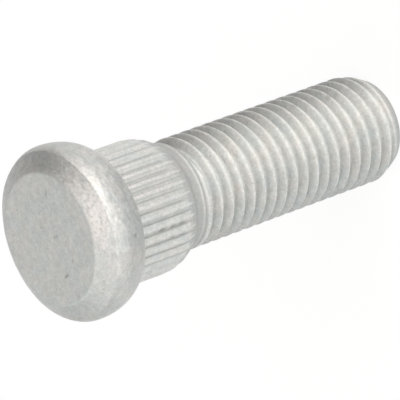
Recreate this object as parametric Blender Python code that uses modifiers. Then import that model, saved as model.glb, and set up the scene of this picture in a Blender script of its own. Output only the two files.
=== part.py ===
"""Press-in wheel stud, M12 x 1.5, with a round head and a straight-knurled collar.

One forged and rolled piece. It stands on its threaded end with the head up: the origin is
the centre of the threaded end, and +Z runs up the axis to the head's flat face. Driving
sizes are in millimetres and degrees, and the model itself is in metres.
"""
import math

import bmesh
import bpy

MM = 0.001

# Driving sizes
OVERALL_LENGTH = 44.7
HEAD_DIAMETER = 18.7
HEAD_THICKNESS = 5.6
HEAD_FACE_DIAMETER = 14.1
HEAD_CHAMFER_DEPTH = 1.25
HEAD_CROWN_DEPTH = 1.25
HEAD_CROWN_WIDTH = 0.4
HEAD_BACK_WIDTH = 1.3
KNURL_DIAMETER = 14.4
KNURL_TEETH = 36
KNURL_LENGTH = 6.3
KNURL_GROOVE_DEPTH = 0.36
KNURL_CREST_WIDTH = 0.32
KNURL_FLOOR_WIDTH = 0.1
KNURL_FIRST_CREST_ANGLE = 8.5
SHOULDER_LENGTH = 2.9
NECK_DIAMETER = 11.65
NECK_LENGTH = 2.3
THREAD_DIAMETER = 11.8
THREAD_PITCH = 1.5
THREAD_FLANK_ANGLE = 30.0
THREAD_CREST_FLAT = 0.19
THREAD_ROOT_FLAT = 0.25
THREAD_RUN_OUT = 1.6
THREAD_GROOVE_HEIGHT = 0.6
TIP_DIAMETER = 10.0
TIP_CHAMFER_LENGTH = 2.25

# How far a construction solid reaches past the surface that it meets or cuts
OVERLAP = 0.4

# Facets round the axis and along the curves
HEAD_SEGMENTS = 60
NECK_SEGMENTS = 40
THREAD_SEGMENTS = 40
HEAD_CROWN_STEPS = 4
HEAD_BACK_STEPS = 6
SHOULDER_STEPS = 6
LEAST_FLANK_SHARE = 0.1
MERGE_DISTANCE = 0.000001
SHARP_ANGLE = 25.0

# Pale grey zinc-flake coating
COATING_COLOUR = (0.55, 0.55, 0.52, 1.0)
COATING_METALLIC = 0.6
COATING_ROUGHNESS = 0.5

# Heights above the threaded end that follow from the sizes
HEAD_CREASE = OVERALL_LENGTH - HEAD_CHAMFER_DEPTH
HEAD_WIDEST = HEAD_CREASE - HEAD_CROWN_DEPTH
HEAD_UNDERSIDE = OVERALL_LENGTH - HEAD_THICKNESS
KNURL_END = HEAD_UNDERSIDE - KNURL_LENGTH
SHOULDER_END = KNURL_END - SHOULDER_LENGTH
THREAD_TOP = SHOULDER_END - NECK_LENGTH
RUN_OUT_END = THREAD_TOP - THREAD_RUN_OUT

# Radii that follow from the sizes
KNURL_RADIUS = KNURL_DIAMETER / 2.0
NECK_RADIUS = NECK_DIAMETER / 2.0
THREAD_CREST_RADIUS = THREAD_DIAMETER / 2.0
THREAD_FLANK_WIDTH = (THREAD_PITCH - THREAD_CREST_FLAT - THREAD_ROOT_FLAT) / 2.0
THREAD_DEPTH = THREAD_FLANK_WIDTH / math.tan(math.radians(THREAD_FLANK_ANGLE))
THREAD_ROOT_RADIUS = THREAD_CREST_RADIUS - THREAD_DEPTH


def clear_scene():
    for old in list(bpy.data.objects):
        bpy.data.objects.remove(old, do_unlink=True)


def new_collection(name):
    group = bpy.data.collections.new(name)
    bpy.context.scene.collection.children.link(group)
    return group


def baked_mesh(solid):
    """The mesh that an object gives with its modifiers, as a mesh of its own."""
    depsgraph = bpy.context.evaluated_depsgraph_get()
    return bpy.data.meshes.new_from_object(solid.evaluated_get(depsgraph))


def profile_object(name, profile, group):
    """A line of edges at +X through radius and height pairs."""
    mesh = bpy.data.meshes.new(name)
    points = [(radius * MM, 0.0, height * MM) for radius, height in profile]
    edges = [(index, index + 1) for index in range(len(points) - 1)]
    mesh.from_pydata(points, edges, [])
    line = bpy.data.objects.new(name, mesh)
    group.objects.link(line)
    return line


def add_screw(line, segments, turns=1, pitch=0.0):
    screw = line.modifiers.new("screw", "SCREW")
    screw.angle = 2.0 * math.pi
    screw.steps = segments
    screw.render_steps = segments
    screw.iterations = turns
    screw.screw_offset = pitch * MM
    screw.use_merge_vertices = True
    screw.merge_threshold = MERGE_DISTANCE


def turned(name, profile, segments, group):
    """A solid turned about Z from a profile that runs down from the axis and back to it."""
    solid = profile_object(name, profile, group)
    add_screw(solid, segments)
    return solid


def add_boolean(solid, operation, other):
    boolean = solid.modifiers.new(other.name, "BOOLEAN")
    boolean.operation = operation
    boolean.solver = "EXACT"
    boolean.object = other


def quarter_ellipse(start, end, steps):
    """Points from after start down to end, bulging out and leaving start straight down."""
    points = []
    for step in range(1, steps + 1):
        angle = math.pi / 2.0 * step / steps
        radius = end[0] + (start[0] - end[0]) * math.cos(angle)
        height = start[1] + (end[1] - start[1]) * math.sin(angle)
        points.append((radius, height))
    return points


def crown_arc(start, end, steps):
    """Points after start down to end on the circle that reaches end straight down."""
    width = end[0] - start[0]
    depth = start[1] - end[1]
    bend = (width * width + depth * depth) / (2.0 * width)
    sweep = math.asin(depth / bend)
    points = []
    for step in range(1, steps + 1):
        angle = sweep * (1.0 - step / steps)
        radius = end[0] - bend + bend * math.cos(angle)
        points.append((radius, end[1] + bend * math.sin(angle)))
    return points


def make_head(group):
    face_edge = (HEAD_FACE_DIAMETER / 2.0, OVERALL_LENGTH)
    crease = (HEAD_DIAMETER / 2.0 - HEAD_CROWN_WIDTH, HEAD_CREASE)
    widest = (HEAD_DIAMETER / 2.0, HEAD_WIDEST)
    bearing_edge = (HEAD_DIAMETER / 2.0 - HEAD_BACK_WIDTH, HEAD_UNDERSIDE)
    profile = [(0.0, OVERALL_LENGTH), face_edge, crease]
    profile += crown_arc(crease, widest, HEAD_CROWN_STEPS)
    profile += quarter_ellipse(widest, bearing_edge, HEAD_BACK_STEPS)
    profile.append((0.0, HEAD_UNDERSIDE))
    return turned("head", profile, HEAD_SEGMENTS, group)


def toothed_ring(edit, height, radius):
    """One closed ring of the collar: two crest corners and two groove corners a tooth.

    The grooves keep the radius of their floors, so they narrow and end where the shoulder
    curves in below it.
    """
    angle_step = 2.0 * math.pi / KNURL_TEETH
    half_crest = KNURL_CREST_WIDTH / 2.0 / KNURL_RADIUS
    half_floor = KNURL_FLOOR_WIDTH / 2.0 / KNURL_RADIUS
    flank = angle_step / 2.0 - half_crest - half_floor
    depth = max(0.0, radius - KNURL_RADIUS + KNURL_GROOVE_DEPTH)
    half_land = half_crest + flank * (1.0 - max(LEAST_FLANK_SHARE, depth / KNURL_GROOVE_DEPTH))
    ring = []
    for tooth in range(KNURL_TEETH):
        crest = math.radians(KNURL_FIRST_CREST_ANGLE) + tooth * angle_step
        groove = crest + angle_step / 2.0
        corners = (
            (crest - half_land, radius),
            (crest + half_land, radius),
            (groove - half_floor, radius - depth),
            (groove + half_floor, radius - depth),
        )
        for angle, reach in corners:
            x = reach * math.cos(angle) * MM
            y = reach * math.sin(angle) * MM
            ring.append(edit.verts.new((x, y, height * MM)))
    return ring


def make_collar(group):
    """The knurled collar and its rounded shoulder, lofted from toothed rings to plain ones."""
    knurl_foot = (KNURL_RADIUS, KNURL_END)
    shoulder_foot = (NECK_RADIUS - OVERLAP, SHOULDER_END)
    sections = [(KNURL_RADIUS, HEAD_WIDEST), knurl_foot]
    sections += quarter_ellipse(knurl_foot, shoulder_foot, SHOULDER_STEPS)
    edit = bmesh.new()
    rings = [toothed_ring(edit, height, radius) for radius, height in sections]
    for upper, lower in zip(rings, rings[1:]):
        for index in range(len(upper)):
            before = index - 1
            edit.faces.new((upper[before], lower[before], lower[index], upper[index]))
    edit.faces.new(rings[0])
    edit.faces.new(reversed(rings[-1]))
    mesh = bpy.data.meshes.new("collar")
    edit.to_mesh(mesh)
    edit.free()
    collar = bpy.data.objects.new("collar", mesh)
    group.objects.link(collar)
    return collar


def make_neck(group):
    """The plain neck, and the cone under it that fills the last thread grooves."""
    slope = (NECK_RADIUS - THREAD_ROOT_RADIUS) / THREAD_RUN_OUT
    cone_foot = (THREAD_ROOT_RADIUS - slope * OVERLAP, RUN_OUT_END - OVERLAP)
    profile = [
        (0.0, KNURL_END),
        (NECK_RADIUS, KNURL_END),
        (NECK_RADIUS, THREAD_TOP),
        cone_foot,
        (0.0, cone_foot[1]),
    ]
    return turned("neck", profile, NECK_SEGMENTS, group)


def cap_ends(mesh, low, high):
    """Close each open end of a helical skin with a fan to a point on the axis beyond it."""
    edit = bmesh.new()
    edit.from_mesh(mesh)
    bmesh.ops.remove_doubles(edit, verts=edit.verts, dist=MERGE_DISTANCE)
    middle = (low + high) / 2.0 * MM
    rims = [edge for edge in edit.edges if edge.is_boundary]
    for height, is_low in ((low, True), (high, False)):
        rim = [edge for edge in rims if (edge.verts[0].co.z < middle) == is_low]
        grown = bmesh.ops.extrude_edge_only(edit, edges=rim)
        tips = [item for item in grown["geom"] if isinstance(item, bmesh.types.BMVert)]
        bmesh.ops.pointmerge(edit, verts=tips, merge_co=(0.0, 0.0, height * MM))
    bmesh.ops.recalc_face_normals(edit, faces=edit.faces)
    edit.to_mesh(mesh)
    edit.free()


def make_thread(group):
    """Right-hand thread on its full core, trimmed by the pointed end and at the neck."""
    flank_top = THREAD_ROOT_FLAT + THREAD_FLANK_WIDTH + THREAD_CREST_FLAT
    start = THREAD_GROOVE_HEIGHT - THREAD_ROOT_FLAT / 2.0 - 3.0 * THREAD_PITCH
    turns = math.ceil((THREAD_TOP - start) / THREAD_PITCH) + 2
    profile = [
        (THREAD_ROOT_RADIUS, start + THREAD_PITCH),
        (THREAD_CREST_RADIUS, start + flank_top),
        (THREAD_CREST_RADIUS, start + flank_top - THREAD_CREST_FLAT),
        (THREAD_ROOT_RADIUS, start + THREAD_ROOT_FLAT),
        (THREAD_ROOT_RADIUS, start),
    ]
    line = profile_object("helix", profile, group)
    add_screw(line, THREAD_SEGMENTS, turns, THREAD_PITCH)
    thread = bpy.data.objects.new("thread", baked_mesh(line))
    group.objects.link(thread)
    bpy.data.objects.remove(line, do_unlink=True)
    cap_ends(thread.data, start - THREAD_PITCH, start + (turns + 2) * THREAD_PITCH)

    clear_radius = THREAD_CREST_RADIUS + OVERLAP
    chamfer_slope = (THREAD_CREST_RADIUS - TIP_DIAMETER / 2.0) / TIP_CHAMFER_LENGTH
    neck_clear = THREAD_TOP + OVERLAP
    trim_profile = [
        (0.0, neck_clear),
        (NECK_RADIUS - OVERLAP, neck_clear),
        (clear_radius, THREAD_TOP - OVERLAP),
        (clear_radius, TIP_CHAMFER_LENGTH + OVERLAP / chamfer_slope),
        (TIP_DIAMETER / 2.0, 0.0),
        (0.0, 0.0),
    ]
    trim = turned("trim", trim_profile, THREAD_SEGMENTS, group)
    add_boolean(thread, "INTERSECT", trim)
    return thread


def coating():
    material = bpy.data.materials.new("zinc_flake_coating")
    material.use_nodes = True
    shader = material.node_tree.nodes["Principled BSDF"]
    shader.inputs["Base Color"].default_value = COATING_COLOUR
    shader.inputs["Metallic"].default_value = COATING_METALLIC
    shader.inputs["Roughness"].default_value = COATING_ROUGHNESS
    material.diffuse_color = COATING_COLOUR
    return material


def make_stud():
    """The whole stud as one mesh: head, collar and thread are one piece of steel."""
    parts = new_collection("wheel_stud")
    construction = new_collection("construction")
    head = make_head(construction)
    for joined in (make_collar, make_neck, make_thread):
        add_boolean(head, "UNION", joined(construction))
    bpy.context.view_layer.update()
    stud = bpy.data.objects.new("wheel_stud", baked_mesh(head))
    stud.data.name = "wheel_stud"
    parts.objects.link(stud)
    for helper in list(construction.objects):
        bpy.data.objects.remove(helper, do_unlink=True)
    bpy.data.collections.remove(construction)
    stud.data.shade_smooth()
    stud.data.set_sharp_from_angle(angle=math.radians(SHARP_ANGLE))
    stud.data.materials.clear()
    stud.data.materials.append(coating())
    return stud


clear_scene()
make_stud()
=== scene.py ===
"""Looks of the press-in wheel stud: its fine surface, zinc-flake coating, light and camera.

Lengths are in millimetres until they reach Blender, which works in metres. The stud stands
on its threaded end, so heights run up from the floor to the head's flat face, and angles
run round the axis from +X towards +Y.
"""

import math

import bpy
import numpy as np
from mathutils import Matrix, Vector


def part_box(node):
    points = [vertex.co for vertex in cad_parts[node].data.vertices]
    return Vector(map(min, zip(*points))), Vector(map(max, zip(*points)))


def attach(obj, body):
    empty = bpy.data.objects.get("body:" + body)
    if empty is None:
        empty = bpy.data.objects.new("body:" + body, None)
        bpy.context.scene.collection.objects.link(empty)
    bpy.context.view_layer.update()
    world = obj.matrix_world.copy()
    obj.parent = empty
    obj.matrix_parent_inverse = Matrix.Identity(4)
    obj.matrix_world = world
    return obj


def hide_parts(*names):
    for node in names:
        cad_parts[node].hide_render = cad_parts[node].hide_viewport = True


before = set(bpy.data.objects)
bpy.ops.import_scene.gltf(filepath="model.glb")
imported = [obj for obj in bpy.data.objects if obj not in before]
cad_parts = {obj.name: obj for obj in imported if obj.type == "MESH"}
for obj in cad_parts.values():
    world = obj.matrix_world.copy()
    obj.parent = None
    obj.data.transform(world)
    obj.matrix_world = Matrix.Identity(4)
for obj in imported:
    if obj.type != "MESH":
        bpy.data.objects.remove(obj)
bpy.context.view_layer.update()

MM = 0.001
FULL_TURN = 2.0 * math.pi
NODE = "wheel_stud"
SEED = 11

# The overall sizes are the frame's
LOW_CORNER, HIGH_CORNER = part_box(NODE)
LENGTH = (HIGH_CORNER[2] - LOW_CORNER[2]) / MM
HEAD_RADIUS = (HIGH_CORNER[0] - LOW_CORNER[0]) / MM / 2.0

# The head, from its flat face down
FACE_RADIUS = 7.05
CHAMFER_DEPTH = 1.25
CROWN_DEPTH = 1.25
CROWN_WIDTH = 0.4
HEAD_THICKNESS = 5.6
HEAD_BACK_WIDTH = 1.3
FACE_EDGE_FILLET = 0.6
CREASE_FILLET = 0.28

# The knurled collar. From each tooth's crest a step, a slope and the groove's line go down, each
# given as its width and depth. The columns are where the skin is divided, off the crest.
KNURL_RADIUS = 7.2
KNURL_TEETH = 36
KNURL_LENGTH = 6.3
KNURL_CREST_WIDTH = 0.3
KNURL_STEP = (0.1, 0.09)
KNURL_SLOPE = (0.3, 0.17)
KNURL_LINE = (0.06, 0.1)
KNURL_COLUMNS = (0.0, 0.13, 0.19, 0.25, 0.4, 0.54, 0.59)
KNURL_FIRST_CREST = math.radians(8.5)
TOOTH_SOFTNESS = 0.15
TOOTH_ROUNDING = 0.03
COLLAR_FILLET = 0.25

# The collar's columns start this far out on the bearing ring, the teeth start this far out on
# the fillet, and the columns go on this far down the neck
COLLAR_MARGIN = 0.42
TOOTH_REACH = 0.2
COLLAR_FOOT = 0.6

# The teeth's depth wanders round the collar by this share, in slow waves
KNURL_WANDER = 0.12
KNURL_WANDER_WAVES = 3.0
KNURL_WANDER_SIDE = math.radians(256.0)

# The ridges have tapered to points where the shoulder has curved in this far
RIDGE_FALL = 0.46

# The rounded shoulder, down to its fillet at the neck
SHOULDER_LENGTH = 2.9
SHOULDER_FOOT_RADIUS = 5.425
SHOULDER_LAST_ANGLE = math.radians(60.0)
NECK_FILLET = 0.95

# The neck: waisted under the shoulder, then a turned lip, a fine groove and the first land
NECK_RADIUS = 5.825
NECK_WAIST = 0.06
LIP_HEIGHT = 28.8
LIP_WIDTH = 0.24
LAND_HEIGHT = 28.25
LAND_WIDTH = 0.16
NECK_GROOVE = (28.46, 0.1, 0.04)

# The thread: right hand, M12 x 1.5
PITCH = 1.5
CREST_RADIUS = 5.9
CREST_FLAT = 0.19
ROOT_FLAT = 0.25
FLANK_ANGLE = math.radians(30.0)
GROOVE_HEIGHT = 0.6
THREAD_SOFTNESS = 0.17
NECK_BLEND = 0.02
TIP_BLEND = 0.12
THREAD_TOP = 28.1
TIP_RADIUS = 4.9
TIP_LENGTH = 2.05
END_FILLET = 0.15

# The end face's rings: the first and the last radius, and how many
END_RINGS = (4.4, 0.4, 9)

# The last turn of the groove widens upwards, then fades out. Each height is the one that the
# groove's centre has reached.
WIDEN_HEIGHT = 27.26
WIDEN_REACH = 0.14
WIDEN = 0.22
FADE_HEIGHT = 27.6
FADE_BLEND = 0.08
LEAST_BLEND = 0.001
GROOVE_END_HEIGHT = 27.85

# How far the forging's head and collar lie off the thread's axis, along X
HEAD_SHIFT = 0.045
COLLAR_SHIFT = -0.07

# Heights, depths and radii that follow
HEAD_CREASE = LENGTH - CHAMFER_DEPTH
HEAD_WIDEST = HEAD_CREASE - CROWN_DEPTH
HEAD_UNDERSIDE = LENGTH - HEAD_THICKNESS
KNURL_END = HEAD_UNDERSIDE - KNURL_LENGTH
KNURL_GROOVE_DEPTH = KNURL_STEP[1] + KNURL_SLOPE[1] + KNURL_LINE[1]
FLANK_WIDTH = (PITCH - CREST_FLAT - ROOT_FLAT) / 2.0
THREAD_DEPTH = FLANK_WIDTH / math.tan(FLANK_ANGLE)
ROOT_RADIUS = CREST_RADIUS - THREAD_DEPTH

# The coating's colours, and the depth of its grain
COAT_COOL = (0.585, 0.62, 0.615, 1.0)
COAT_WARM = (0.65, 0.64, 0.615, 1.0)
# The colour of worn edges and of painted highlights
COAT_WORN_AND_LIT = (0.82, 0.785, 0.77, 1.0)
COAT_DIRT = (0.16, 0.17, 0.16, 1.0)
GRAIN_RELIEF = 0.034
FLAKE_RELIEF = 0.5
BUMP_STRENGTH = 0.6
METALLIC = 0.75
ROUGHNESS = (0.47, 0.61)
WORN_AND_LIT_GLOSS = 0.08

# The coating's noises: how many to a millimetre, detail, and roughness
CLOUD_NOISE = (0.5, 4.0, 0.55)
BLOTCH_NOISE = (1.3, 4.0, 0.65)
GRAIN_NOISE = (3.2, 5.0, 0.7)
FLAKE_NOISE = (9.0, 3.0, 0.6)
SPECK_NOISE = (2.1, 3.0, 0.55)
SCUFF_NOISE = (2.4, 4.0, 0.65)

# How strongly each of them shows
GRAIN_SHADE = 0.12
BLOTCH_SHADE = 0.09
FLAKE_SHADE = 0.08
SCUFF_SHADE = (-0.2, 0.13)
SPECK_SHARE = 0.35
NICK_SHARE = 0.8
# How strongly worn edges and painted highlights lighten the colour
WORN_AND_LIT_SHARE = 0.8

# How softly the edges of paint and of the neck's steps are rounded, and how wide the paint's
# edges are at the face's edge and at the crease
EDGE_SOFTNESS = 0.3
FACE_EDGE_BLEND = 0.5
CREASE_BLEND = 0.2

# Dull dark painted shade on the head's back, rim and upper edge, in the grooves, round the neck
# and on the threaded end
BACK_SHADE_TOP = 41.6
BACK_SHADE_CLIMB = 0.9
BACK_SHADE_HIGH_SIDE = math.radians(200.0)
SHADED_SIDE = math.radians(266.0)
SHADED_SIDE_REACH = math.radians(54.0)
BACK_SHADE_FADE = 1.1
RIM_SHADE = 0.4
RIM_SHADE_FADE = (0.3, 0.6)
EDGE_SHADE = 0.5
EDGE_SHADE_SIDE = math.radians(338.0)
EDGE_SHADE_REACH = math.radians(16.0)
KNURL_SIDE_SHADE = 0.32
GROOVE_SHADE = 0.9
STEP_SHADE = 0.8
STEP_SHADE_WIDTH = 0.06
STEP_SHADE_DEPTH = 0.05
NECK_SHADE = 1.0
NECK_SHADE_SPAN = (28.2, 32.1)
NECK_SHADE_FADE = (0.1, 0.9)
NECK_SHADE_EDGE = 0.03
ROOT_SHADE = 0.5
ROOT_SHADE_START = 0.6
ROOT_SHADE_FADE = 0.35
END_SHADE = 0.9
END_SHADE_TOP = 1.0
END_SHADE_FADE = 0.8
SHADE_DARKNESS = 0.33

# Painted highlights: patches of the head's chamfer and rim painted bright on one side
CHAMFER_HIGHLIGHT_SIDE = math.radians(276.0)
CHAMFER_HIGHLIGHT_REACH = math.radians(32.0)
RIM_HIGHLIGHT = 0.9
RIM_HIGHLIGHT_SIDE = math.radians(294.0)
RIM_HIGHLIGHT_REACH = math.radians(16.0)
# A trace of rubbing all round at the crease, and how wide it is
CREASE_RUB = 0.15
CREASE_RUB_WIDTH = 0.3

# Rubbing on the knurl's ridges: everywhere and more at their tips; and a painted highlight on
# them towards the head on the lit side, from a height upwards
RIDGE_RUB = 0.35
RIDGE_TIP_RUB = 0.3
RIDGE_TIP_RUB_FALL = 0.1
SIDE_HIGHLIGHT = 0.5
SIDE_HIGHLIGHT_START = 34.5
SIDE_HIGHLIGHT_FADE = 3.0
# The lit side of the knurl: its painted highlight, and painted shade at its steps' feet
LIT_SIDE = math.radians(290.0)
LIT_SIDE_REACH = math.radians(24.0)

# The neck's painted shade left thinner on its lip, just under its edge, and rubbing on the thread's
# crests
LIP_SHADE_GAP = 0.5
LIP_SHADE_GAP_DROP = 0.03
LIP_SHADE_GAP_WIDTH = 0.14
CREST_RUB = 0.1
CREST_RUB_DEPTH = 0.08

# Scuffs that run round the head's chamfer and rim, strongest on one side
SCUFF_SIDE = math.radians(284.0)
SCUFF_REACH = math.radians(44.0)
SCUFF_LEAST = 0.2
SCUFF_STRETCH = 4.2

# How finely the skin is divided
HEAD_COLUMNS = 180
THREAD_COLUMNS = 144
HEAD_STEP = 0.14
COLLAR_STEP = 0.4
SHOULDER_STEPS = 22
NECK_RINGS = 24
RING_GAP = 0.05
ARC_STEPS = 6

# Unevenness of the forged and rolled skin: the height of its hills, and how far apart
HEAD_HILLS = (0.012, 4.0)
SKIN_HILLS = (0.004, 1.1)
HILL_SPREAD = (0.7, 1.6)
HEAD_HILLS_FADE = 1.0
HEAD_SHIFT_FADE = 0.3

# Specks on the head's face, one by one: angle, radius, direction, length, width, darkness
SPECK_DEPTH = 0.01
FACE_SPECKS = (
    (335.1, 4.97, 329.0, 0.34, 0.11, 0.8),
    (272.2, 0.93, 329.0, 0.13, 0.13, 0.7),
    (270.3, 1.37, 329.0, 0.14, 0.16, 0.6),
    (220.7, 3.77, 300.0, 0.2, 0.13, 0.5),
    (187.9, 4.12, 286.0, 0.42, 0.13, 0.95),
    (251.2, 2.59, 329.0, 0.26, 0.11, 0.4),
    (191.5, 6.68, 329.0, 0.5, 0.14, 0.4),
    (4.0, 2.86, 329.0, 0.2, 0.12, 0.35),
    (329.8, 3.85, 300.0, 0.14, 0.12, 0.35),
    (22.8, 1.58, 286.0, 0.2, 0.12, 0.35),
    (323.5, 3.44, 329.0, 0.3, 0.11, 0.3),
    (27.3, 6.43, 300.0, 0.2, 0.12, 0.35),
)

# Nicks down the side, one by one: angle, radius, height, width, length, depth, darkness
NICKS = (
    (253.6, 9.3, 40.96, 0.16, 0.25, 0.05, 1.0),
    (246.3, 7.02, 35.75, 0.22, 0.4, 0.04, 1.0),
    (245.7, 7.02, 34.2, 0.18, 0.25, 0.03, 1.0),
    (246.2, 7.05, 33.8, 0.14, 0.16, 0.03, 0.9),
    (246.2, 7.05, 33.15, 0.17, 0.2, 0.03, 1.0),
    (245.8, 7.0, 32.75, 0.14, 0.14, 0.02, 0.8),
    (236.9, 7.05, 34.4, 0.16, 0.3, 0.02, 0.9),
    (235.8, 7.0, 33.0, 0.15, 0.3, 0.02, 0.8),
    (287.1, 6.9, 31.9, 0.17, 0.17, 0.03, 0.8),
    (298.0, 6.95, 31.9, 0.15, 0.15, 0.02, 0.6),
    (315.7, 5.7, 7.2, 0.25, 0.2, 0.05, 0.9),
    (311.2, 5.7, 5.4, 0.22, 0.18, 0.05, 0.8),
    (318.0, 5.7, 6.0, 0.2, 0.15, 0.03, 0.4),
)

# Seeded nicks elsewhere; every third one is on the head's side
RANDOM_NICKS = 70
NICK_WIDTHS = (0.12, 0.28)
NICK_DEPTHS = (0.01, 0.04)
NICK_DARKS = (0.0, 0.5)
HEAD_NICK_DROPS = (CHAMFER_DEPTH, 3.0)

# The camera of the photograph, fitted to its outline: the stud's axis lies across the picture,
# head to the left
CAMERA_AIM = (-1.41, 0.0, 24.86)
CAMERA_DISTANCE = 523.2
CAMERA_ELEVATION = 37.83
CAMERA_ROLL = -110.03
CAMERA_LENS = 454.4

# Soft boxes round the stud, fitted to the photo's shading and rounded: azimuth and elevation in
# degrees, and brightness
KEY_LIGHTS = (
    (270.0, 4.0, 1.82),
    (300.0, 4.0, 1.82),
    (330.0, 4.0, 1.83),
    (257.0, 52.0, 0.64),
    (309.0, 52.0, 1.22),
    (260.0, 70.0, 0.39),
)
KEY_COLOUR = (1.0, 0.952, 0.92)
FILL_LIGHTS = (
    (90.0, 4.0, 0.67),
    (210.0, 4.0, 1.12),
    (240.0, 4.0, 0.92),
    (154.0, 28.0, 0.31),
    (190.0, 28.0, 0.2),
    (103.0, 52.0, 0.71),
    (154.0, 52.0, 0.82),
)
FILL_COLOUR = (1.0, 1.0, 0.99)
LIGHT_DISTANCE = 1.5
LIGHT_RADIUS = 0.75
WORLD_LIGHT = 0.1

# The floor, in metres; its glow and its veil add up to white
FLOOR_SIZE = 6.0
FLOOR_COLOUR = (0.85, 0.85, 0.85, 1.0)
FLOOR_VEIL = (0.15, 0.15, 0.15, 1.0)
FLOOR_GLOW = 0.87


def smooth_min(first, second, blend):
    """The lower of two values, with a rounded change from one to the other."""
    share = np.clip(0.5 + 0.5 * (second - first) / blend, 0.0, 1.0)
    return second + (first - second) * share - blend * share * (1.0 - share)


def smooth_max(first, second, blend):
    return -smooth_min(-first, -second, blend)


def ramp_area(value):
    """The area under a ramp that climbs from 0 to 1 between 0 and 1."""
    inside = np.clip(value, 0.0, 1.0)
    return inside * inside / 2.0 + np.maximum(value - 1.0, 0.0)


def soft_ramp(value, softness=EDGE_SOFTNESS):
    """A ramp from 0 to 1 whose two corners are rounded."""
    return (ramp_area(value + softness) - ramp_area(value - softness)) / (2.0 * softness)


def step_up(value, middle, width):
    """A soft step from 0 to 1, of a width, as the value rises past a middle."""
    return soft_ramp((value - middle) / width + 0.5)


def step_down(value, middle, width):
    return soft_ramp((middle - value) / width + 0.5)


def bump_at(value, centre, width):
    return np.exp(-(((value - centre) / width) ** 2))


def side_patch(angles, side, reach):
    """A soft patch, 1 on one side of the stud, that fades out round the axis."""
    return bump_at((angles - side + math.pi) % FULL_TURN, math.pi, reach)


def rounded_profile(corners, step):
    """Points along straight runs; each corner is (radius, height, fillet)."""
    points = [np.array(corners[0][:2])]
    for before, corner, after in zip(corners, corners[1:], corners[2:]):
        middle = np.array(corner[:2])
        back = np.array(before[:2]) - middle
        ahead = np.array(after[:2]) - middle
        back /= np.linalg.norm(back)
        ahead /= np.linalg.norm(ahead)
        if corner[2] == 0.0:
            add_run(points, middle, step)
            continue
        half = math.acos(np.clip(back @ ahead, -1.0, 1.0)) / 2.0
        tangent = corner[2] / math.tan(half)
        inward = (back + ahead) / np.linalg.norm(back + ahead)
        centre = middle + inward * corner[2] / math.sin(half)
        first = middle + back * tangent - centre
        last = middle + ahead * tangent - centre
        sweep = math.pi - 2.0 * half
        add_run(points, centre + first, step)
        for index in range(1, ARC_STEPS + 1):
            share = index / ARC_STEPS
            near = first * math.sin((1.0 - share) * sweep)
            far = last * math.sin(share * sweep)
            points.append(centre + (near + far) / math.sin(sweep))
    add_run(points, np.array(corners[-1][:2]), step)
    return points


def add_run(points, end, step):
    """Go on in equal steps from the last point to the end."""
    start = points[-1]
    count = max(1, math.ceil(np.linalg.norm(end - start) / step))
    for index in range(1, count + 1):
        points.append(start + (end - start) * index / count)


def even_angles(columns):
    return np.arange(columns) * FULL_TURN / columns


class Skin:
    """A closed mesh grown down the stud, ring by ring; each ring runs round the axis."""

    def __init__(self):
        self.blocks = []
        self.paint = {"worn_and_lit": [], "grime": [], "scuff": []}
        self.faces = []
        self.count = 0

    def add_points(self, angles, radii, heights, **paint):
        """Add points and their paint, from 0 to 1: worn places and painted highlights, painted shade
        and scuffs.
        """
        radii = np.broadcast_to(radii, np.shape(angles))
        heights = np.broadcast_to(heights, np.shape(angles))
        for name, values in self.paint.items():
            values.append(np.broadcast_to(paint.get(name, 0.0), np.shape(angles)))
        block = np.stack([radii * np.cos(angles), radii * np.sin(angles), heights], axis=-1)
        self.blocks.append(block.reshape(-1, 3))
        numbers = np.arange(self.count, self.count + len(self.blocks[-1]))
        self.count += len(numbers)
        return numbers

    def join_equal(self, upper, lower):
        """Quads between two rings of the same columns."""
        next_upper = np.roll(upper, -1)
        next_lower = np.roll(lower, -1)
        quads = np.stack([upper, lower, next_lower, next_upper], axis=-1)
        self.faces += quads.tolist()

    def join_unequal(self, upper, lower, upper_angles, lower_angles):
        """Triangles between two rings of unlike columns, both in rising angle from zero."""
        high = 0
        low = 0
        next_upper = np.append(upper_angles[1:], upper_angles[0] + FULL_TURN)
        next_lower = np.append(lower_angles[1:], lower_angles[0] + FULL_TURN)
        while high < len(upper) or low < len(lower):
            here = (int(upper[high % len(upper)]), int(lower[low % len(lower)]))
            low_turn = high == len(upper) or (
                low < len(lower) and next_lower[low] <= next_upper[high]
            )
            if low_turn:
                low += 1
                self.faces.append((*here, int(lower[low % len(lower)])))
            else:
                high += 1
                self.faces.append((*here, int(upper[high % len(upper)])))

    def close_top(self, ring, height):
        tip = int(self.add_points(np.zeros(1), 0.0, height)[0])
        for index in range(len(ring)):
            self.faces.append((tip, int(ring[index]), int(ring[(index + 1) % len(ring)])))

    def close_bottom(self, ring, height):
        tip = int(self.add_points(np.zeros(1), 0.0, height)[0])
        for index in range(len(ring)):
            self.faces.append((tip, int(ring[(index + 1) % len(ring)]), int(ring[index])))

    def points(self):
        return np.concatenate(self.blocks)


def crown(steps):
    """The bulging rim from the crease down to the head's widest ring, as a circle's arc."""
    bend = (CROWN_WIDTH**2 + CROWN_DEPTH**2) / (2.0 * CROWN_WIDTH)
    sweep = math.asin(CROWN_DEPTH / bend)
    points = []
    for step in range(1, steps + 1):
        angle = sweep * (1.0 - step / steps)
        radius = HEAD_RADIUS - bend + bend * math.cos(angle)
        points.append((radius, HEAD_WIDEST + bend * math.sin(angle), 0.0))
    return points


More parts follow.
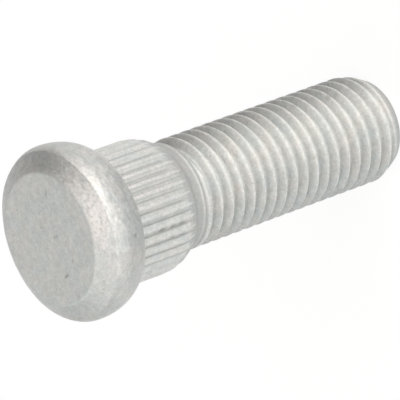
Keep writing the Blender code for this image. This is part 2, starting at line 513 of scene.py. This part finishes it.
def head_profile():
    bearing_edge = HEAD_RADIUS - HEAD_BACK_WIDTH
    corners = [
        (HEAD_STEP, LENGTH, 0.0),
        (FACE_RADIUS, LENGTH, FACE_EDGE_FILLET),
        (HEAD_RADIUS - CROWN_WIDTH, HEAD_CREASE, CREASE_FILLET),
    ]
    profile = rounded_profile(corners + crown(ARC_STEPS), HEAD_STEP)
    back_steps = 2 * ARC_STEPS
    for step in range(1, back_steps + 1):
        angle = math.pi / 2.0 * step / back_steps
        radius = bearing_edge + HEAD_BACK_WIDTH * math.cos(angle)
        depth = (HEAD_WIDEST - HEAD_UNDERSIDE) * math.sin(angle)
        profile.append((radius, HEAD_WIDEST - depth))
    return profile


def head_grime(angles, height):
    """Painted shade on the head's back, darkest and highest on one side, on the rim and on one side
    of the upper edge.
    """
    top = BACK_SHADE_TOP + BACK_SHADE_CLIMB * np.cos(angles - BACK_SHADE_HIGH_SIDE)
    back = side_patch(angles, SHADED_SIDE, SHADED_SIDE_REACH) * step_down(height, top, BACK_SHADE_FADE)
    at_crease, at_back = RIM_SHADE_FADE
    rim = RIM_SHADE * soft_ramp((HEAD_CREASE - height) / at_crease)
    rim = rim * step_up(height, BACK_SHADE_TOP, at_back)
    edge = EDGE_SHADE * side_patch(angles, EDGE_SHADE_SIDE, EDGE_SHADE_REACH)
    return np.maximum(back, np.maximum(rim, edge))


def head_lit_and_worn(angles, height):
    """Painted highlights on the chamfer and the upper rim, and a trace of rubbing at the crease."""
    on_chamfer = step_up(height, HEAD_CREASE, CREASE_BLEND)
    on_rim = soft_ramp((height - HEAD_WIDEST) / CROWN_DEPTH) * (1.0 - on_chamfer)
    painted_highlight = side_patch(angles, CHAMFER_HIGHLIGHT_SIDE, CHAMFER_HIGHLIGHT_REACH) * on_chamfer
    painted_highlight += RIM_HIGHLIGHT * side_patch(angles, RIM_HIGHLIGHT_SIDE, RIM_HIGHLIGHT_REACH) * on_rim
    return np.maximum(painted_highlight, CREASE_RUB * bump_at(height, HEAD_CREASE, CREASE_RUB_WIDTH))


def grow_head(skin):
    angles = even_angles(HEAD_COLUMNS)
    upper = None
    for radius, height in head_profile():
        off_face = soft_ramp((radius - FACE_RADIUS) / FACE_EDGE_BLEND)
        # Painted shade and painted highlights off the face, with a trace of rubbing at the crease,
        # and scuffs
        paint = {"grime": off_face * head_grime(angles, height)}
        paint["worn_and_lit"] = off_face * head_lit_and_worn(angles, height)
        scuff = side_patch(angles, SCUFF_SIDE, SCUFF_REACH)
        paint["scuff"] = off_face * (SCUFF_LEAST + (1.0 - SCUFF_LEAST) * scuff)
        ring = skin.add_points(angles, radius, height, **paint)
        if upper is None:
            skin.close_top(ring, height)
        else:
            skin.join_equal(upper, ring)
        upper = ring
    return upper, angles


def tooth_angles():
    """Angles of the collar's columns, closest together at the teeth's corners."""
    tooth = FULL_TURN / KNURL_TEETH
    one_side = np.array(KNURL_COLUMNS) / KNURL_RADIUS
    pattern = np.concatenate([one_side, (tooth / 2.0,), -one_side[1:]])
    crests = KNURL_FIRST_CREST + np.arange(KNURL_TEETH) * tooth
    return np.sort((crests[:, None] + pattern).ravel() % FULL_TURN)


def off_crest(angles):
    """Distance from the nearest tooth's crest line, round the collar."""
    tooth = FULL_TURN / KNURL_TEETH
    past_crest = (angles - KNURL_FIRST_CREST) % tooth
    return np.minimum(past_crest, tooth - past_crest) * KNURL_RADIUS


def groove_depth(angles, radius):
    """How far the skin lies below the ridges' crests at a radius; floors keep their radius."""
    edge = KNURL_CREST_WIDTH / 2.0
    depth = 0.0
    for width, drop in (KNURL_STEP, KNURL_SLOPE, KNURL_LINE):
        depth = depth + drop * soft_ramp((off_crest(angles) - edge) / width, TOOTH_SOFTNESS)
        edge += width
    wander = KNURL_WANDER * np.sin(KNURL_WANDER_WAVES * (angles - KNURL_WANDER_SIDE))
    cut = KNURL_RADIUS - depth * (1.0 - wander)
    surface = radius - off_ridge(angles, radius)
    return radius - np.minimum(smooth_min(cut, surface, TOOTH_ROUNDING), radius)


def ridge_left(radius):
    """The share that is left of the ridges where the shoulder has curved in to a radius."""
    return float(np.clip(1.0 - (KNURL_RADIUS - radius) / RIDGE_FALL, 0.0, 1.0))


def off_ridge(angles, radius):
    """How far the shoulder's skin lies below the ridges, which taper to points down it."""
    left = ridge_left(radius)
    edge = KNURL_CREST_WIDTH / 2.0 * left
    step_width, step_depth = KNURL_STEP
    side = soft_ramp((off_crest(angles) - edge) / step_width, TOOTH_SOFTNESS)
    return step_depth * math.sqrt(left) * side


def on_ridge(angles, radius):
    """1 on the ridges and 0 beside them and below their tips."""
    beside = off_ridge(angles, radius) / (0.5 * KNURL_STEP[1])
    return np.clip(1.0 - beside, 0.0, 1.0) * np.clip(3.0 * ridge_left(radius), 0.0, 1.0)


def collar_profile():
    """Radius and height pairs from the bearing ring to the neck, over the teeth's crests."""
    top = [
        (KNURL_RADIUS + COLLAR_MARGIN, HEAD_UNDERSIDE, 0.0),
        (KNURL_RADIUS, HEAD_UNDERSIDE, COLLAR_FILLET),
        (KNURL_RADIUS, KNURL_END, 0.0),
    ]
    profile = rounded_profile(top, COLLAR_STEP)
    shoulder_width = KNURL_RADIUS - SHOULDER_FOOT_RADIUS
    for step in range(1, SHOULDER_STEPS + 1):
        angle = SHOULDER_LAST_ANGLE * step / SHOULDER_STEPS
        radius = SHOULDER_FOOT_RADIUS + shoulder_width * math.cos(angle)
        profile.append((radius, KNURL_END - SHOULDER_LENGTH * math.sin(angle)))
    waist = NECK_RADIUS - NECK_WAIST
    reach = (waist - SHOULDER_FOOT_RADIUS) / shoulder_width
    corner_height = KNURL_END - SHOULDER_LENGTH * math.sqrt(1.0 - reach**2)
    foot = [
        (*profile[-1], 0.0),
        (waist, corner_height, NECK_FILLET),
        (waist, corner_height - COLLAR_FOOT, 0.0),
    ]
    return profile + rounded_profile(foot, COLLAR_STEP / 2.0)[1:]


def knurl_grime(angles, depth):
    """Painted shade: thin on one side of the knurl, thick in its grooves and at the steps' feet on
    the lit side.
    """
    deep = np.clip(depth / KNURL_GROOVE_DEPTH, 0.0, 1.0) ** 3
    step_middle = (KNURL_CREST_WIDTH + KNURL_STEP[0]) / 2.0
    foot = bump_at(off_crest(angles), step_middle + STEP_SHADE_WIDTH, STEP_SHADE_WIDTH)
    foot = foot * side_patch(angles, LIT_SIDE, LIT_SIDE_REACH) * (depth > STEP_SHADE_DEPTH)
    thin = KNURL_SIDE_SHADE * side_patch(angles, SHADED_SIDE, SHADED_SIDE_REACH)
    return np.maximum(thin, np.maximum(GROOVE_SHADE * deep, STEP_SHADE * foot))


def knurl_worn_and_lit(angles, radius, height):
    """How strongly the knurl's ridges are worn, with a painted highlight towards the head on the lit
    side.
    """
    near_head = soft_ramp((height - SIDE_HIGHLIGHT_START) / SIDE_HIGHLIGHT_FADE)
    ridge_worn_and_lit = RIDGE_RUB + SIDE_HIGHLIGHT * near_head * side_patch(angles, LIT_SIDE, LIT_SIDE_REACH)
    at_tips = float(np.clip((KNURL_RADIUS - radius) / RIDGE_TIP_RUB_FALL, 0.0, 1.0))
    return ridge_worn_and_lit + RIDGE_TIP_RUB * at_tips


def grow_collar(skin, head_ring, head_angles):
    angles = tooth_angles()
    upper = None
    for radius, height in collar_profile():
        ridge = on_ridge(angles, radius)
        # Painted shade round the neck and the shoulder's foot, kept off the ridges
        paint = {"grime": neck_grime(height) * (1.0 - ridge)}
        depth = 0.0
        if height < HEAD_UNDERSIDE and radius < KNURL_RADIUS + TOOTH_REACH:
            depth = groove_depth(angles, radius)
            # Worn ridges, with a painted highlight towards the head on the lit side
            paint["worn_and_lit"] = ridge * knurl_worn_and_lit(angles, radius, height)
            # Painted shade on one side of the knurl, in its grooves and at its steps' feet
            paint["grime"] = np.maximum(paint["grime"], knurl_grime(angles, depth))
        ring = skin.add_points(angles, radius - depth, height, **paint)
        if upper is None:
            skin.join_unequal(head_ring, ring, head_angles, angles)
        else:
            skin.join_equal(upper, ring)
        upper = ring
    return upper, angles, height


def neck_radius(heights):
    """The shank before the thread is rolled: waist, lip, fine groove and the crest's radius."""
    lip = step_down(heights, LIP_HEIGHT, LIP_WIDTH)
    land = step_down(heights, LAND_HEIGHT, LAND_WIDTH)
    centre, width, depth = NECK_GROOVE
    radius = NECK_RADIUS - NECK_WAIST * (1.0 - lip) + (CREST_RADIUS - NECK_RADIUS) * land
    return radius - depth * bump_at(heights, centre, width)


def neck_grime(height):
    """Painted shade round the neck and on the shoulder's foot, thinner on the lip."""
    low, high = NECK_SHADE_SPAN
    at_low, at_high = NECK_SHADE_FADE
    span = soft_ramp((height - low) / at_low) * soft_ramp((high - height) / at_high)
    lip = bump_at(height, LIP_HEIGHT - LIP_SHADE_GAP_DROP, LIP_SHADE_GAP_WIDTH)
    return NECK_SHADE * span * (1.0 - LIP_SHADE_GAP * lip)


def shank_paint(radii, heights):
    """Painted shade on the neck, in the thread's roots and on its end, and a worn trace on crests.
    """
    off_neck = np.clip((neck_radius(heights) - radii) / NECK_SHADE_EDGE, 0.0, 1.0)
    depth = (CREST_RADIUS - radii) / THREAD_DEPTH
    root = ROOT_SHADE * soft_ramp((depth - ROOT_SHADE_START) / ROOT_SHADE_FADE)
    root = root * (heights > TIP_LENGTH)
    end = END_SHADE * step_down(heights, END_SHADE_TOP, END_SHADE_FADE)
    grime = np.maximum(neck_grime(heights) * (1.0 - off_neck), np.maximum(root, end))
    worn_and_lit = CREST_RUB * np.clip((radii - CREST_RADIUS) / CREST_RUB_DEPTH + 1.0, 0.0, 1.0)
    return {"grime": grime, "worn_and_lit": worn_and_lit}


def grow_neck(skin, collar_ring, collar_angles, collar_foot):
    angles = even_angles(THREAD_COLUMNS)
    heights = np.linspace(collar_foot - RING_GAP, THREAD_TOP + RING_GAP, NECK_RINGS)
    upper = None
    for height in heights:
        radii = shank_radius(angles, height)
        ring = skin.add_points(angles, radii, height, **shank_paint(radii, height))
        if upper is None:
            skin.join_unequal(collar_ring, ring, collar_angles, angles)
        else:
            skin.join_equal(upper, ring)
        upper = ring
    return upper


def tip_limit(height):
    return TIP_RADIUS + (CREST_RADIUS - TIP_RADIUS) * height / TIP_LENGTH


def shank_radius(angles, heights):
    """The neck and the thread; the last turn of the groove widens and fades out."""
    turns = (heights - GROOVE_HEIGHT) / PITCH - angles / FULL_TURN
    last_turn = (GROOVE_END_HEIGHT - GROOVE_HEIGHT) / PITCH - angles / FULL_TURN
    groove = np.minimum(np.round(turns), np.floor(last_turn))
    centre = GROOVE_HEIGHT + PITCH * (groove + angles / FULL_TURN)
    widen = WIDEN * np.clip((centre - WIDEN_HEIGHT) / WIDEN_REACH, 0.0, 1.0)
    fade = np.clip((centre - FADE_HEIGHT) / (GROOVE_END_HEIGHT - FADE_HEIGHT), 0.0, 1.0)
    off_groove = np.abs(heights - centre - widen) - widen
    rise = soft_ramp((off_groove - ROOT_FLAT / 2.0) / FLANK_WIDTH, THREAD_SOFTNESS)
    radius = ROOT_RADIUS + THREAD_DEPTH * rise
    blend = FADE_BLEND * (1.0 - fade) + LEAST_BLEND
    radius = smooth_max(radius, ROOT_RADIUS + THREAD_DEPTH * fade, blend)
    radius = smooth_min(radius, neck_radius(heights), NECK_BLEND)
    return smooth_min(radius, tip_limit(heights), TIP_BLEND)


def thread_phases():
    """Places of the rows in one pitch, in shares of it up from a groove's centre."""
    root = ROOT_FLAT / 2.0
    crest = PITCH - root - FLANK_WIDTH
    runs = (
        (-root, root, 3),
        (root, root + FLANK_WIDTH, 4),
        (root + FLANK_WIDTH, crest, 3),
        (crest, PITCH - root, 4),
    )
    return np.concatenate([np.linspace(*run, endpoint=False) for run in runs]) / PITCH


def grow_thread(skin, neck_ring):
    """Rows that follow the helix, trimmed to a flat ring at the neck and at the end."""
    phases = thread_phases()
    rows_per_turn = len(phases)
    turns = np.arange(-2, math.ceil(THREAD_TOP / PITCH) + 1)
    rows = GROOVE_HEIGHT + PITCH * (turns[:, None] + phases).ravel()
    columns = []
    for column in range(THREAD_COLUMNS):
        heights = rows + PITCH * column / THREAD_COLUMNS
        low = int(np.argmin(np.abs(heights - END_FILLET)))
        high = int(np.argmin(np.abs(heights - THREAD_TOP)))
        heights = heights[low : high + 1]
        heights[0] = END_FILLET
        heights[-1] = THREAD_TOP
        angles = np.full(len(heights), FULL_TURN * column / THREAD_COLUMNS)
        radii = shank_radius(angles, heights)
        numbers = skin.add_points(angles, radii, heights, **shank_paint(radii, heights))
        columns.append((low, high, numbers))
    for column in range(THREAD_COLUMNS):
        low, high, numbers = columns[column]
        next_low, next_high, next_numbers = columns[(column + 1) % THREAD_COLUMNS]
        if column == THREAD_COLUMNS - 1:
            next_low -= rows_per_turn
            next_high -= rows_per_turn
        for row in range(low, next_high):
            here = numbers[row - low]
            beside = next_numbers[row - next_low]
            above = numbers[row - low + 1]
            above_beside = next_numbers[row - next_low + 1]
            skin.faces.append((int(here), int(beside), int(above_beside), int(above)))
        for row in range(next_low, low):
            corner = (numbers[0], next_numbers[row - next_low], next_numbers[row - next_low + 1])
            skin.faces.append([int(number) for number in corner])
        for row in range(next_high, high):
            corner = (numbers[row - low], next_numbers[-1], numbers[row - low + 1])
            skin.faces.append([int(number) for number in corner])
    top = np.array([numbers[-1] for low, high, numbers in columns])
    bottom = np.array([numbers[0] for low, high, numbers in columns])
    skin.join_equal(neck_ring, top)
    return bottom


def grow_end(skin, thread_ring):
    angles = even_angles(THREAD_COLUMNS)
    upper = thread_ring
    for step in range(1, ARC_STEPS + 1):
        angle = math.pi / 2.0 * step / ARC_STEPS
        height = END_FILLET * (1.0 - math.sin(angle))
        radii = shank_radius(angles, height) - END_FILLET * (1.0 - math.cos(angle))
        # Painted shade on the threaded end, on its fillet and its face
        ring = skin.add_points(angles, radii, height, grime=END_SHADE)
        skin.join_equal(upper, ring)
        upper = ring
    for radius in np.linspace(*END_RINGS):
        ring = skin.add_points(angles, radius, 0.0, grime=END_SHADE)
        skin.join_equal(upper, ring)
        upper = ring
    skin.close_bottom(upper, 0.0)


def hills(points, apart, seed, count=16):
    """Smooth seeded unevenness of about plus or minus one."""
    draw = np.random.default_rng(seed)
    ways = draw.normal(size=(count, 3))
    ways /= np.linalg.norm(ways, axis=1)[:, None]
    ways *= (FULL_TURN / (apart * draw.uniform(*HILL_SPREAD, count)))[:, None]
    waves = np.sin(points @ ways.T + draw.uniform(0.0, FULL_TURN, count))
    return waves.sum(axis=1) / math.sqrt(count)


def all_nicks():
    """Every nick as its centre, the way it runs, its length, width, depth and darkness."""
    nicks = []
    for angle, radius, direction, length, width, dark in FACE_SPECKS:
        way = round_axis(direction, 1.0, 0.0)
        centre = round_axis(angle, radius, LENGTH)
        nicks.append((centre, way, length, width, SPECK_DEPTH, dark))
    upright = np.array((0.0, 0.0, 1.0))
    for angle, radius, height, width, length, depth, dark in NICKS:
        nicks.append((round_axis(angle, radius, height), upright, length, width, depth, dark))
    draw = np.random.default_rng(SEED)
    for index in range(RANDOM_NICKS):
        angle = draw.uniform(0.0, 360.0)
        size = draw.uniform(*NICK_WIDTHS)
        depth = draw.uniform(*NICK_DEPTHS)
        dark = draw.uniform(*NICK_DARKS)
        centre = round_axis(angle, CREST_RADIUS, draw.uniform(TIP_LENGTH, THREAD_TOP))
        if index % 3 == 0:
            centre = round_axis(angle, HEAD_RADIUS, LENGTH - draw.uniform(*HEAD_NICK_DROPS))
        nicks.append((centre, upright, size, size, depth, dark))
    return nicks


def round_axis(angle, radius, height):
    turn = math.radians(angle)
    return np.array((radius * math.cos(turn), radius * math.sin(turn), height))


def pitting(points):
    """How deep the nicks are at each point, and how dark."""
    depths = np.zeros(len(points))
    darks = np.zeros(len(points))
    for centre, way, length, width, depth, dark in all_nicks():
        off = points - centre
        along = off @ way
        across = (off**2).sum(axis=1) - along**2
        near = np.exp(-((along / length) ** 2) - across / width**2)
        depths = np.maximum(depths, near * depth)
        darks = np.maximum(darks, near * dark)
    return depths, darks


def roughen(mesh, points):
    """Move the points by the forging's unevenness and offset, and sink the nicks."""
    normals = np.empty(len(points) * 3)
    mesh.vertex_normals.foreach_get("vector", normals)
    normals = normals.reshape(-1, 3)
    on_head = np.clip((points[:, 2] - HEAD_UNDERSIDE) / HEAD_HILLS_FADE, 0.0, 1.0)
    head_start = HEAD_UNDERSIDE + HEAD_SHIFT_FADE
    heights = (KNURL_END - SHOULDER_LENGTH, KNURL_END, HEAD_UNDERSIDE, head_start)
    shift = np.interp(points[:, 2], heights, (0.0, COLLAR_SHIFT, COLLAR_SHIFT, HEAD_SHIFT))
    above_end = np.clip(points[:, 2] / END_FILLET, 0.0, 1.0)
    relief = SKIN_HILLS[0] * hills(points, SKIN_HILLS[1], SEED)
    relief += HEAD_HILLS[0] * on_head * hills(points, HEAD_HILLS[1], SEED + 1)
    depths, darks = pitting(points)
    moved = points + normals * ((relief - depths) * above_end)[:, None]
    moved[:, 0] += shift
    mesh.vertices.foreach_set("co", (moved * MM).ravel())
    return darks


def add_attribute(mesh, name, values):
    attribute = mesh.attributes.new(name, "FLOAT", "POINT")
    attribute.data.foreach_set("value", np.asarray(values, dtype=np.float32))


def make_stud():
    skin = Skin()
    head_ring, head_angles = grow_head(skin)
    collar_ring, collar_angles, collar_foot = grow_collar(skin, head_ring, head_angles)
    neck_ring = grow_neck(skin, collar_ring, collar_angles, collar_foot)
    thread_ring = grow_thread(skin, neck_ring)
    grow_end(skin, thread_ring)

    points = skin.points()
    mesh = bpy.data.meshes.new("stud")
    mesh.from_pydata((points * MM).tolist(), [], skin.faces)
    darks = roughen(mesh, points)
    mesh.shade_smooth()
    for name, values in skin.paint.items():
        add_attribute(mesh, name, np.concatenate([block.ravel() for block in values]))
    add_attribute(mesh, "nick", darks)
    stud = bpy.data.objects.new("stud", mesh)
    bpy.context.scene.collection.objects.link(stud)
    mesh.materials.append(coating())
    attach(stud, "root")
    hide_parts(NODE)


class Graph:
    """Nodes of a material or world, wired by the names of their inputs."""

    def __init__(self, owner):
        owner.use_nodes = True
        self.tree = owner.node_tree
        self.tree.nodes.clear()

    def add(self, kind, inputs, **settings):
        node = self.tree.nodes.new(kind)
        for name, value in settings.items():
            setattr(node, name, value)
        for name, value in inputs.items():
            if isinstance(value, bpy.types.NodeSocket):
                self.tree.links.new(value, node.inputs[name])
            else:
                node.inputs[name].default_value = value
        return node

    def noise(self, place, scale, detail, roughness):
        inputs = {"Vector": place, "Scale": scale, "Detail": detail, "Roughness": roughness}
        return self.add("ShaderNodeTexNoise", inputs).outputs["Fac"]

    def ramp(self, value, low, high, to_low=0.0, to_high=1.0):
        """A value's range low to high, stretched to another and held there."""
        inputs = {"Value": value, "From Min": low, "From Max": high}
        inputs.update({"To Min": to_low, "To Max": to_high})
        return self.add("ShaderNodeMapRange", inputs).outputs["Result"]

    def shade(self, value, strength):
        """A noise turned into a factor about 1, that strength stretches up and down."""
        return self.ramp(value, 0.3, 0.7, 1.0 - strength, 1.0 + strength)

    def math(self, operation, first, second):
        return self.add("ShaderNodeMath", {0: first, 1: second}, operation=operation).outputs[0]

    def mix(self, share, first, second, blend="MIX"):
        """Two colours mixed by a share."""
        inputs = {0: share, 6: first, 7: second}
        node = self.add("ShaderNodeMix", inputs, data_type="RGBA", blend_type=blend)
        return node.outputs[2]

    def attribute(self, name):
        return self.add("ShaderNodeAttribute", {}, attribute_name=name).outputs["Fac"]


def coating():
    """Dull zinc-flake coating: cloudy and grainy, worn on its edges, dark in its nicks, with painted
    shade and painted highlights.
    """
    material = bpy.data.materials.new("zinc_flake_coating")
    graph = Graph(material)
    place = graph.add("ShaderNodeTexCoord", {}).outputs["Object"]
    scaled = graph.add("ShaderNodeVectorMath", {0: place, "Scale": 1.0 / MM}, operation="SCALE")
    place = scaled.outputs["Vector"]

    cloud = graph.noise(place, *CLOUD_NOISE)
    blotch = graph.noise(place, *BLOTCH_NOISE)
    grain = graph.noise(place, *GRAIN_NOISE)
    flake = graph.noise(place, *FLAKE_NOISE)
    speck = graph.ramp(graph.noise(place, *SPECK_NOISE), 0.66, 0.74)
    scuff = graph.noise(round_place(graph, place), *SCUFF_NOISE)
    # Worn edges and painted highlights, broken up by the grain
    worn_and_lit_share = graph.math("MULTIPLY", graph.attribute("worn_and_lit"), graph.ramp(grain, 0.35, 0.65))
    # Painted shade, broken up by blotches
    shade_share = graph.math("MULTIPLY", graph.attribute("grime"), graph.ramp(blotch, 0.25, 0.6, 0.5, 1.0))
    nick = graph.attribute("nick")

    colour = graph.mix(graph.ramp(cloud, 0.3, 0.7), COAT_COOL, COAT_WARM)
    tone = graph.math("MULTIPLY", graph.shade(grain, GRAIN_SHADE), graph.shade(blotch, BLOTCH_SHADE))
    tone = graph.math("MULTIPLY", tone, graph.shade(flake, FLAKE_SHADE))
    mottle = graph.ramp(scuff, 0.35, 0.65, *SCUFF_SHADE)
    mottle = graph.math("MULTIPLY", mottle, graph.attribute("scuff"))
    tone = graph.math("MULTIPLY", tone, graph.math("ADD", 1.0, mottle))
    # Painted shade darkens the tone
    tone = graph.math("MULTIPLY", tone, graph.ramp(shade_share, 0.0, 1.0, 1.0, 1.0 - SHADE_DARKNESS))
    grey = graph.add("ShaderNodeCombineColor", {0: tone, 1: tone, 2: tone}).outputs[0]
    colour = graph.mix(1.0, colour, grey, "MULTIPLY")
    colour = graph.mix(graph.math("MULTIPLY", worn_and_lit_share, WORN_AND_LIT_SHARE), colour, COAT_WORN_AND_LIT)
    colour = graph.mix(graph.math("MULTIPLY", speck, SPECK_SHARE), colour, COAT_DIRT)
    colour = graph.mix(graph.math("MULTIPLY", nick, NICK_SHARE), colour, COAT_DIRT)

    rough = graph.ramp(grain, 0.3, 0.7, *ROUGHNESS)
    rough = graph.math("SUBTRACT", rough, graph.math("MULTIPLY", worn_and_lit_share, WORN_AND_LIT_GLOSS))
    relief = graph.math("ADD", grain, graph.math("MULTIPLY", flake, FLAKE_RELIEF))
    inputs = {"Height": relief, "Strength": BUMP_STRENGTH, "Distance": GRAIN_RELIEF * MM}
    bump = graph.add("ShaderNodeBump", inputs).outputs["Normal"]
    inputs = {"Base Color": colour, "Roughness": rough, "Metallic": METALLIC, "Normal": bump}
    shader = graph.add("ShaderNodeBsdfPrincipled", inputs).outputs["BSDF"]
    graph.add("ShaderNodeOutputMaterial", {"Surface": shader})
    return material


def round_place(graph, place):
    """A place whose noise is drawn out along circles round the axis."""
    x, y, z = graph.add("ShaderNodeSeparateXYZ", {0: place}).outputs
    flat = graph.add("ShaderNodeCombineXYZ", {0: x, 1: y}).outputs[0]
    way = graph.add("ShaderNodeVectorMath", {0: flat}, operation="NORMALIZE").outputs[0]
    size = graph.add("ShaderNodeVectorMath", {0: flat}, operation="LENGTH").outputs["Value"]
    turn = graph.add("ShaderNodeVectorMath", {0: way, "Scale": SCUFF_STRETCH}, operation="SCALE")
    down = graph.add("ShaderNodeCombineXYZ", {2: graph.math("SUBTRACT", size, z)}).outputs[0]
    total = graph.add("ShaderNodeVectorMath", {0: turn.outputs[0], 1: down}, operation="ADD")
    return total.outputs[0]


def make_camera():
    data = bpy.data.cameras.new("camera")
    data.sensor_width = 36.0
    data.lens = CAMERA_LENS
    data.clip_start = 0.01
    data.clip_end = 10.0
    camera = bpy.data.objects.new("camera", data)
    bpy.context.scene.collection.objects.link(camera)
    tilt = Matrix.Rotation(math.radians(90.0 - CAMERA_ELEVATION), 4, "X")
    roll = Matrix.Rotation(math.radians(CAMERA_ROLL), 4, "Z")
    turn = tilt @ roll
    back = turn.to_3x3() @ Vector((0.0, 0.0, 1.0))
    place = (Vector(CAMERA_AIM) + back * CAMERA_DISTANCE) * MM
    camera.matrix_world = Matrix.Translation(place) @ turn
    bpy.context.scene.camera = camera


def make_stage():
    """A white floor for every ray that looks at it, which still takes a faint shadow."""
    bpy.ops.mesh.primitive_plane_add(size=FLOOR_SIZE)
    floor = bpy.context.object
    floor.name = "floor"
    material = bpy.data.materials.new("floor")
    graph = Graph(material)
    bounce = graph.add("ShaderNodeBsdfDiffuse", {"Color": FLOOR_COLOUR}).outputs[0]
    veil = graph.add("ShaderNodeBsdfDiffuse", {"Color": FLOOR_VEIL}).outputs[0]
    glow = graph.add("ShaderNodeEmission", {"Strength": FLOOR_GLOW}).outputs[0]
    looked_at = graph.add("ShaderNodeAddShader", {0: veil, 1: glow}).outputs[0]
    surface = graph.add("ShaderNodeMixShader", {0: looking_ray(graph), 1: bounce, 2: looked_at})
    graph.add("ShaderNodeOutputMaterial", {"Surface": surface.outputs[0]})
    floor.data.materials.append(material)


def looking_ray(graph):
    """1 for camera, glossy and transmission rays."""
    rays = graph.add("ShaderNodeLightPath", {}).outputs
    seen = graph.math("MAXIMUM", rays["Is Camera Ray"], rays["Is Glossy Ray"])
    return graph.math("MAXIMUM", seen, rays["Is Transmission Ray"])


def make_light(azimuth, elevation, strength, colour):
    """A round soft box that looks at the stud; strength is its brightness, where 1 is white."""
    data = bpy.data.lights.new("soft_box", "AREA")
    data.shape = "DISK"
    data.size = 2.0 * LIGHT_RADIUS
    data.energy = strength * math.pi * math.pi * LIGHT_RADIUS**2
    data.color = colour
    lamp = bpy.data.objects.new("soft_box", data)
    east = math.cos(math.radians(azimuth)) * math.cos(math.radians(elevation))
    north = math.sin(math.radians(azimuth)) * math.cos(math.radians(elevation))
    way = Vector((east, north, math.sin(math.radians(elevation))))
    lamp.location = way * LIGHT_DISTANCE + Vector((0.0, 0.0, LENGTH / 2.0 * MM))
    lamp.rotation_euler = way.to_track_quat("Z", "Y").to_euler()
    lamp.visible_camera = False
    bpy.context.scene.collection.objects.link(lamp)


def make_world():
    """Dim grey light from all round, and white where a ray looks straight at it."""
    world = bpy.data.worlds.new("studio")
    graph = Graph(world)
    seen = graph.add("ShaderNodeLightPath", {}).outputs["Is Camera Ray"]
    strength = graph.ramp(seen, 0.0, 1.0, WORLD_LIGHT, 1.0)
    background = graph.add("ShaderNodeBackground", {"Strength": strength}).outputs[0]
    graph.add("ShaderNodeOutputWorld", {"Surface": background})
    bpy.context.scene.world = world


make_camera()
make_stage()
make_world()
for light in KEY_LIGHTS:
    make_light(*light, KEY_COLOUR)
for light in FILL_LIGHTS:
    make_light(*light, FILL_COLOUR)
make_stud()
bpy.context.scene.view_settings.view_transform = "Standard"
